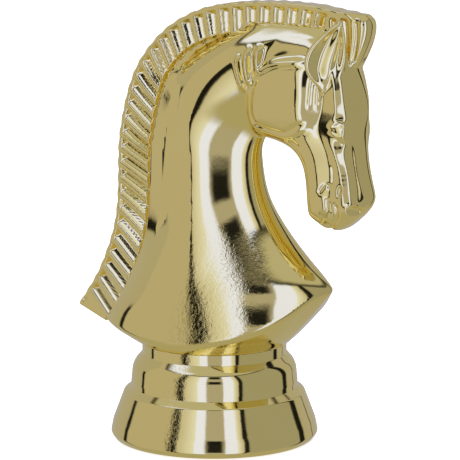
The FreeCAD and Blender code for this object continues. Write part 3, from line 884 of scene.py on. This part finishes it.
def gold_material(name, wrinkled):
    """Bright vacuum-plated gold with the fine orange peel of moulded parts, and flow marks
    where wrinkled(n, place) says."""
    material, n, shader = new_material(name)
    place = n.add("ShaderNodeTexCoord").outputs["Object"]
    tone = n.noise(place, 60.0)
    colour = n.ramp(tone, [(0.3, (0.94, 0.79, 0.295)), (0.7, (0.96, 0.81, 0.31))])
    n.put(shader, Base_Color=colour, Metallic=1.0)
    rough = n.math("MULTIPLY_ADD", n.noise(place, 220.0, 3.0), 0.03, 0.045)
    n.put(shader, Roughness=rough)
    peel = n.math("MULTIPLY", n.noise(place, 420.0), 0.010)
    marks = n.noise(place, 1500.0, 3.0, 0.6, 0.7)
    peel = n.math("MULTIPLY_ADD", n.math("MULTIPLY", marks, wrinkled(n, place)), 0.034, peel)
    bump = n.add("ShaderNodeBump")
    n.put(bump, Strength=1.0, Distance=0.001, Height=peel)
    n.put(shader, Normal=bump.outputs[0])
    return material


def neck_marks(n, place):
    """Crinkled moulding marks low on the near side of the neck."""
    split = n.add("ShaderNodeSeparateXYZ")
    n.put(split, Vector=place)
    x, y, z = split.outputs
    across = n.band(x, -0.009, 0.0, 0.010, 0.019)
    return n.math("MULTIPLY", n.math("MULTIPLY", across, n.smooth(z, 0.047, 0.033)),
                  n.smooth(y, -0.003, -0.007))


def foot_marks(n, place):
    """A crinkled streak up the near side of the foot."""
    split = n.add("ShaderNodeSeparateXYZ")
    n.put(split, Vector=place)
    x, y, _ = split.outputs
    off = n.math("ABSOLUTE", n.math("SUBTRACT", x, 0.0012))
    return n.math("MULTIPLY", n.smooth(off, 0.0028, 0.001), n.smooth(y, -0.003, -0.007))


def plastic_material(name, dark, light, roughness):
    material, n, shader = new_material(name)
    place = n.add("ShaderNodeTexCoord").outputs["Object"]
    n.put(shader, Base_Color=n.ramp(n.noise(place, 90.0, 3.0), [(0.3, dark), (0.7, light)]))
    n.put(shader, Roughness=n.math("MULTIPLY_ADD", n.noise(place, 500.0), 0.1, roughness))
    bump = n.add("ShaderNodeBump")
    n.put(bump, Strength=0.3, Distance=0.0002, Height=n.noise(place, 900.0))
    n.put(shader, Normal=bump.outputs[0])
    return material


def steel_material(name, dark, light, roughness):
    material = plastic_material(name, dark, light, roughness)
    material.node_tree.nodes["Principled BSDF"].inputs["Metallic"].default_value = 1.0
    return material


# ------------------------------------------------------------------ studio


CAMERA, AIM = Vector((0.225, -0.3897, 0.1146)), Vector((0, 0, 0.042))
LENS, SENSOR = 186.3, 36.0          # mm
FRAMING = (0.003, -0.00195)         # middle of the picture, right of and above the aim
FLOOR_REACH, FLOOR_DROP = 3.0, 0.0003
SOFTBOX_PLACE, SOFTBOX_SIZE, SOFTBOX_POWER = (0.1, -0.1, 1.2), 1.2, 14.0

# The room that the plating mirrors: directions fixed in the scene, radiances, degrees.
FRONT, RIGHT = Vector((0.5, -0.866, 0.0)), Vector((0.866, 0.5, 0.0))
ROOM_STRENGTH = 3.12
RAMP_SCALE = 3                      # keeps the ramp's colours below 1
TAN, OLIVE, DIM = (0.47, 0.45, 0.48), (0.34, 0.34, 0.37), (0.42, 0.41, 0.44)
MIDDLE, CREAM, NEAR_WHITE = (0.41, 0.405, 0.50), (0.54, 0.53, 0.62), (0.74, 0.80, 1.2)
WHITE, BLACK = (0.80, 0.93, 2.25), (0.01, 0.01, 0.012)
STRIP, CEILING = (0.02, 0.019, 0.018, 1), (0.155, 0.155, 0.17, 1)
CEILING_PANEL, BELOW = (0.267, 0.31, 0.75, 1), (0.135, 0.13, 0.12, 1)
DARK_PATCHES = [(3, 7, 17, 22), (31, 35, 42, 47)]      # heights of the two in front of the figure
PATCH_DEPTH = 0.97

# Azimuth seen from the figure, degrees to the right of the camera, with the radiance from
# there to the next one (start and end of each panel).
WALLS = [(-180, DIM, DIM), (-119.3, BLACK, BLACK), (-112.8, TAN, TAN), (-52.5, BLACK, BLACK),
         (-42, CREAM, NEAR_WHITE), (-23, WHITE, WHITE), (-11, MIDDLE, MIDDLE),
         (12, WHITE, WHITE), (26, NEAR_WHITE, CREAM), (33, BLACK, BLACK), (39, OLIVE, OLIVE),
         (108, BLACK, BLACK), (118, DIM, DIM), (137, BLACK, BLACK), (139, DIM, DIM)]
WALL_EDGE = 0.6                     # half width of the soft edge between panels


def wall_stops():
    """Stops of the ramp that goes once round the room."""
    stops = []
    for i, (angle, first, last) in enumerate(WALLS):
        end = WALLS[i + 1][0] if i + 1 < len(WALLS) else 180
        start = angle + (WALL_EDGE if i else 0)
        stops.append(((start + 180) / 360, [v / RAMP_SCALE for v in first]))
        stops.append(((end - WALL_EDGE + 180) / 360, [v / RAMP_SCALE for v in last]))
    return stops


def studio_world():
    """Plain white to the camera; to reflections and light, a room of pale and dark panels."""
    world = bpy.data.worlds.new("studio")
    bpy.context.scene.world = world
    world.use_nodes = True
    tree = world.node_tree
    tree.nodes.clear()
    n = Nodes(tree)
    look = n.add("ShaderNodeTexCoord").outputs["Generated"]

    def along(direction):
        node = n.add("ShaderNodeVectorMath", operation="DOT_PRODUCT")
        n.put(node, i0=look, i1=tuple(direction))
        return node.outputs["Value"]

    azimuth = n.math("ARCTAN2", along(RIGHT), along(FRONT))
    degrees = n.math("MULTIPLY", azimuth, 180 / math.pi)
    height = n.math("MULTIPLY", n.math("ARCSINE", along((0, 0, 1))), 180 / math.pi)
    walls = n.ramp(n.math("MULTIPLY_ADD", degrees, 1 / 360, 0.5), wall_stops())
    ahead = n.smooth(n.math("ABSOLUTE", degrees), 12, 6)
    lower, upper = [n.math("MULTIPLY", ahead, n.band(height, *span)) for span in DARK_PATCHES]
    lit = n.mix(n.math("MULTIPLY", n.math("MAXIMUM", lower, upper), PATCH_DEPTH),
                walls, (0.0, 0.0, 0.0, 1))
    # the black panel at the far left is only 8 to 12 degrees high
    beyond = n.math("MULTIPLY", n.smooth(degrees, -109, -112), n.smooth(height, 8, 12))
    lit = n.mix(beyond, lit, (*(v / RAMP_SCALE for v in DIM), 1))
    lit = n.mix(n.smooth(height, 44, 47), lit, STRIP)
    lit = n.mix(n.smooth(height, 47, 51), lit, CEILING)
    panel = n.math("MULTIPLY", n.band(height, 47, 51, 57, 64),
                   n.band(degrees, -112, -100, -52, -38))
    lit = n.mix(panel, lit, CEILING_PANEL)
    lit = n.mix(n.smooth(height, -30, -45), lit, BELOW)
    studio = n.add("ShaderNodeBackground")
    n.put(studio, Color=lit, Strength=ROOM_STRENGTH)
    plain = n.add("ShaderNodeBackground")
    n.put(plain, Color=(1, 1, 1, 1), Strength=1.0)
    mix = n.add("ShaderNodeMixShader")
    n.put(mix, i0=n.add("ShaderNodeLightPath").outputs["Is Camera Ray"],
          i1=studio.outputs[0], i2=plain.outputs[0])
    n.put(n.add("ShaderNodeOutputWorld"), Surface=mix.outputs[0])


def studio_floor():
    """Pale floor and an overhead softbox, neither of which shows in reflections."""
    material, n, shader = new_material("floor_white")
    place = n.add("ShaderNodeTexCoord").outputs["Object"]
    colour = n.ramp(n.noise(place, 3.0), [(0.3, (0.88, 0.88, 0.87)), (0.7, (0.9, 0.9, 0.89))])
    n.put(shader, Base_Color=colour, Roughness=0.9, Emission_Color=(1, 1, 1, 1),
          Emission_Strength=0.7)
    mesh = bpy.data.meshes.new("floor")
    reach = FLOOR_REACH
    mesh.from_pydata([(-reach, -reach, 0), (reach, -reach, 0), (reach, reach, 0),
                      (-reach, reach, 0)], [], [(0, 1, 2, 3)])
    mesh.materials.append(material)
    floor = bpy.data.objects.new("floor", mesh)
    bpy.context.scene.collection.objects.link(floor)
    floor.location.z = -FLOOR_DROP
    floor.visible_glossy = False
    light = bpy.data.lights.new("overhead_softbox", "AREA")
    light.size = SOFTBOX_SIZE
    light.energy = SOFTBOX_POWER
    lamp = bpy.data.objects.new("overhead_softbox", light)
    lamp.location = SOFTBOX_PLACE
    lamp.visible_glossy = False
    bpy.context.scene.collection.objects.link(lamp)


def studio_camera():
    """Camera at the photograph's viewing angle."""
    data = bpy.data.cameras.new("camera")
    data.sensor_width = SENSOR
    data.lens = LENS
    data.clip_start = 0.01
    camera = bpy.data.objects.new("camera", data)
    bpy.context.scene.collection.objects.link(camera)
    forward = (AIM - CAMERA).normalized()
    right = forward.cross(Vector((0, 0, 1))).normalized()
    up = right.cross(forward)
    target = AIM + FRAMING[0] * right + FRAMING[1] * up
    camera.location = CAMERA
    camera.rotation_euler = (target - CAMERA).to_track_quat("-Z", "Y").to_euler()
    bpy.context.scene.camera = camera


# ------------------------------------------------------------------ build

bust_gold = gold_material("bust_gold_plating", neck_marks)
foot_gold = gold_material("foot_gold_plating", foot_marks)

points, faces, corner_normals = half_shell()
right = add_mesh("bust_right_half", points, faces, corner_normals, bust_gold)
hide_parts("right_half_shell")
mirrored = np.array([1.0, -1.0, 1.0])
left = add_mesh("bust_left_half", points * mirrored, faces[:, ::-1],
                corner_normals[:, ::-1] * mirrored, bust_gold)
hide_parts("left_half_shell")

foot = turned("foot_cover", FOOT, foot_gold)
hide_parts("foot_shell")

inner = plastic_material("inner_plastic_ivory", (0.62, 0.58, 0.47), (0.68, 0.64, 0.53), 0.5)
zinc = steel_material("zinc_plate", (0.55, 0.56, 0.57), (0.66, 0.67, 0.68), 0.28)
pin_steel = steel_material("ground_steel", (0.46, 0.45, 0.44), (0.56, 0.55, 0.54), 0.2)
for node, material in (("foot_core", inner), ("neck_plug", inner), ("captive_nut", zinc),
                       ("clamp_screws", zinc), ("locating_pins", pin_steel)):
    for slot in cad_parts[node].material_slots:
        slot.material = material

studio_world()
studio_floor()
studio_camera()
bpy.context.scene.view_settings.view_transform = "Standard"
bpy.context.scene.view_settings.look = "None"
